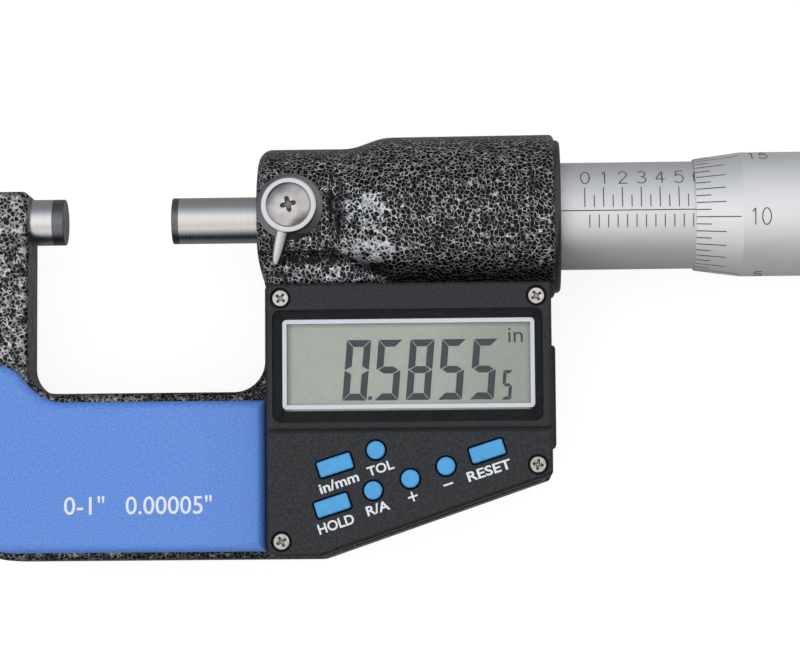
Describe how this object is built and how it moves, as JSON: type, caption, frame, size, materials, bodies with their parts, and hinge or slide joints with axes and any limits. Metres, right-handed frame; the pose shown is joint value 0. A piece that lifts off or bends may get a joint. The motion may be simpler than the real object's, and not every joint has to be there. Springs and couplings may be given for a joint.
{
  "type": "digital outside micrometer",
  "caption": "Digital outside micrometer: cast C frame, anvil and screw-driven spindle, graduated sleeve and thimble, display housing with keys, lock lever.",
  "frame": {"origin": "centre of the anvil's measuring face, on the spindle axis", "axes": "+X along the spindle axis from the anvil to the thimble, +Y up the plate from the beam to the spindle, +Z out of the display"},
  "size_m": [0.1636, 0.0579, 0.0229],
  "materials": {
    "frame_paint": "black hammertone enamel with a silver network",
    "satin_chrome": "satin chrome plate",
    "ground_steel": "fine ground steel",
    "carbide": "lapped carbide",
    "bright_chrome": "polished chrome",
    "screw_plate": "nickel plate",
    "black_cover": "fine grained moulding",
    "ring_black": "smooth black",
    "grip_blue": "satin blue moulding",
    "key_blue": "smooth light blue",
    "window_glass": "clear",
    "panel_grey": "liquid crystal grey green",
    "board_green": "solder mask",
    "strip_rubber": "soft silicone",
    "sensor_board": "glass fibre with etched copper",
    "ribbon_amber": "polyimide film",
    "spring_brass": "bright",
    "cell_steel": "drawn can",
    "socket_black": "plain"
  },
  "bodies": {
    "body": {"frame": "frame_paint", "anvil": "ground_steel", "anvil_tip": "carbide", "barrel_end_ring": "ring_black", "sleeve": "satin_chrome", "screw_nut": "ground_steel", "adjusting_nut": "ground_steel", "encoder_stator": "sensor_board", "sensor_ribbon": "ribbon_amber", "lock_pad": "spring_brass", "front_cover": "black_cover", "display_window": "window_glass", "lcd_panel": "panel_grey", "display_connectors": "strip_rubber", "circuit_board": "board_green", "key_switches": "bright_chrome", "front_cover_screws": "screw_plate", "back_cover": "black_cover", "battery": "cell_steel", "battery_contact": "spring_brass", "data_socket": "socket_black", "back_cover_screws": "screw_plate", "grip_plate_front": "grip_blue", "grip_plate_back": "grip_blue"},
    "lock": {"lock_lever": "bright_chrome", "lock_screw": "bright_chrome", "lock_shaft": "ground_steel"},
    "rotor": {"encoder_rotor": "sensor_board", "rotor_key": "ground_steel"},
    "spindle_set": {"spindle": "ground_steel", "spindle_tip": "carbide", "thimble": "satin_chrome", "stop_stud": "ground_steel", "stop_screw": "screw_plate", "stop_washers": "ground_steel"},
    "stop": {"stop_knob": "satin_chrome"},
    "battery_lid": {"battery_cap": "black_cover"},
    "port_lid": {"data_port_cover": "black_cover"},
    "unit_key_cap": {"unit_key": "key_blue"},
    "hold_key_cap": {"hold_key": "key_blue"},
    "reset_key_cap": {"reset_key": "key_blue"},
    "tolerance_key_cap": {"tolerance_key": "key_blue"},
    "relative_key_cap": {"relative_key": "key_blue"},
    "plus_key_cap": {"plus_key": "key_blue"},
    "minus_key_cap": {"minus_key": "key_blue"}
  },
  "joints": [
    {"name": "thimble_turn", "type": "hinge", "parent": "body", "child": "rotor", "pos_m": [0.05, 0, 0], "axis": [1, 0, 0], "range_deg": [-8432, 5969]},
    {"name": "spindle_travel", "type": "slide", "parent": "rotor", "child": "spindle_set", "axis": [1, 0, 0], "range_m": [-0.01487, 0.01053]},
    {"name": "stop_turn", "type": "hinge", "parent": "spindle_set", "child": "stop", "pos_m": [0.14, 0, 0], "axis": [1, 0, 0], "continuous": true},
    {"name": "lock_turn", "type": "hinge", "parent": "body", "child": "lock", "pos_m": [0.03153, 0.00065, 0.01], "axis": [0, 0, 1], "range_deg": [0, 60]},
    {"name": "unit_key_press", "type": "slide", "parent": "body", "child": "unit_key_cap", "axis": [0, 0, -1], "range_m": [0, 0.00035], "stiffness_N_per_m": 400},
    {"name": "hold_key_press", "type": "slide", "parent": "body", "child": "hold_key_cap", "axis": [0, 0, -1], "range_m": [0, 0.00035], "stiffness_N_per_m": 400},
    {"name": "reset_key_press", "type": "slide", "parent": "body", "child": "reset_key_cap", "axis": [0, 0, -1], "range_m": [0, 0.00035], "stiffness_N_per_m": 400},
    {"name": "tolerance_key_press", "type": "slide", "parent": "body", "child": "tolerance_key_cap", "axis": [0, 0, -1], "range_m": [0, 0.00035], "stiffness_N_per_m": 400},
    {"name": "relative_key_press", "type": "slide", "parent": "body", "child": "relative_key_cap", "axis": [0, 0, -1], "range_m": [0, 0.00035], "stiffness_N_per_m": 400},
    {"name": "plus_key_press", "type": "slide", "parent": "body", "child": "plus_key_cap", "axis": [0, 0, -1], "range_m": [0, 0.00035], "stiffness_N_per_m": 400},
    {"name": "minus_key_press", "type": "slide", "parent": "body", "child": "minus_key_cap", "axis": [0, 0, -1], "range_m": [0, 0.00035], "stiffness_N_per_m": 400},
    {"name": "battery_cap_turn", "type": "hinge", "parent": "body", "child": "battery_lid", "pos_m": [0.0465, -0.023, -0.0105], "axis": [0, 0, -1], "range_deg": [0, 60]},
    {"name": "port_cover_pull", "type": "slide", "parent": "body", "child": "port_lid", "axis": [1, 0, 0], "range_m": [0, 0.006]}
  ],
  "couplings": [
    {"joint": "thimble_turn", "follows": "spindle_travel", "rad_per_m": 9894.8}
  ]
}
